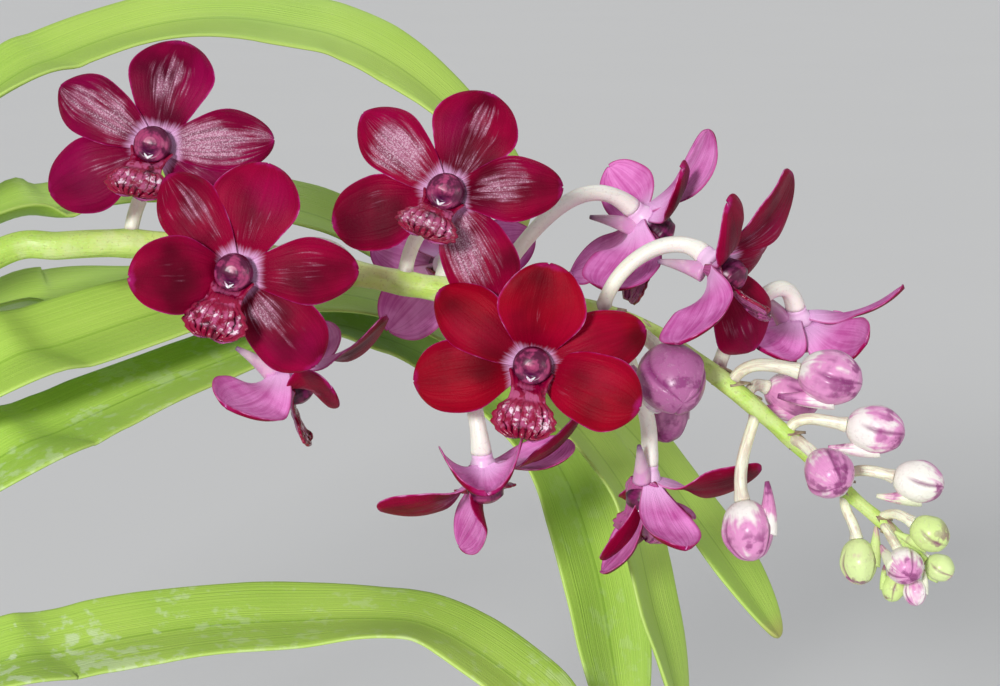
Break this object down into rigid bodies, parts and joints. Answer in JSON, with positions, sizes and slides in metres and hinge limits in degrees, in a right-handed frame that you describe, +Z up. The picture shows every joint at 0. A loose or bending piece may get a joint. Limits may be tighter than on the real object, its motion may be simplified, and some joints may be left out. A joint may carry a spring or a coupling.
{
  "type": "potted orchid",
  "caption": "Orchid with strap leaves and an arching stalk of red blooms and mauve buds, rooted in bark in a plain glazed vase.",
  "frame": {"origin": "centre of the vase's foot, on the surface that it stands on", "axes": "+Z up along the vase and the plant's stem; the flower stalk arches towards +X; the blooms face -Y"},
  "size_m": [0.5225, 0.1556, 0.4165],
  "materials": {
    "vase_glaze": "plain cream glaze",
    "bark": "rough bark chips",
    "stem": "green stem, sheaths and roots",
    "leaf": "satin yellow-green leaf",
    "stalk": "lime green stalk with cream pedicels",
    "petal": "velvety crimson, mauve behind",
    "bud": "mauve over cream"
  },
  "bodies": {
    "root": {"vase": "vase_glaze", "bark": "bark", "stem_and_roots": "stem", "leaf_r1": "leaf", "leaf_r2": "leaf", "leaf_r3": "leaf", "leaf_r4": "leaf", "leaf_r5": "leaf", "leaf_r6": "leaf", "leaf_l1": "leaf", "leaf_l2": "leaf", "leaf_l3": "leaf", "leaf_l4": "leaf", "leaf_l5": "leaf", "leaf_l6": "leaf", "leaf_crown": "leaf", "flower_stalk": "stalk", "bloom_1": "petal", "bloom_2": "petal", "bloom_3": "petal", "bloom_4": "petal", "bloom_5": "petal", "bloom_6": "petal", "bloom_7": "petal", "bloom_8": "petal", "bloom_9": "petal", "bloom_10": "petal", "bloom_11": "petal", "bud_1": "bud", "bud_2": "bud", "bud_3": "bud", "bud_4": "bud", "bud_5": "bud", "bud_6": "bud", "bud_7": "bud", "bud_8": "bud", "bud_9": "bud", "bud_10": "bud", "bud_11": "bud", "bud_12": "bud", "bud_13": "bud", "bud_14": "bud"}
  },
  "joints": []
}
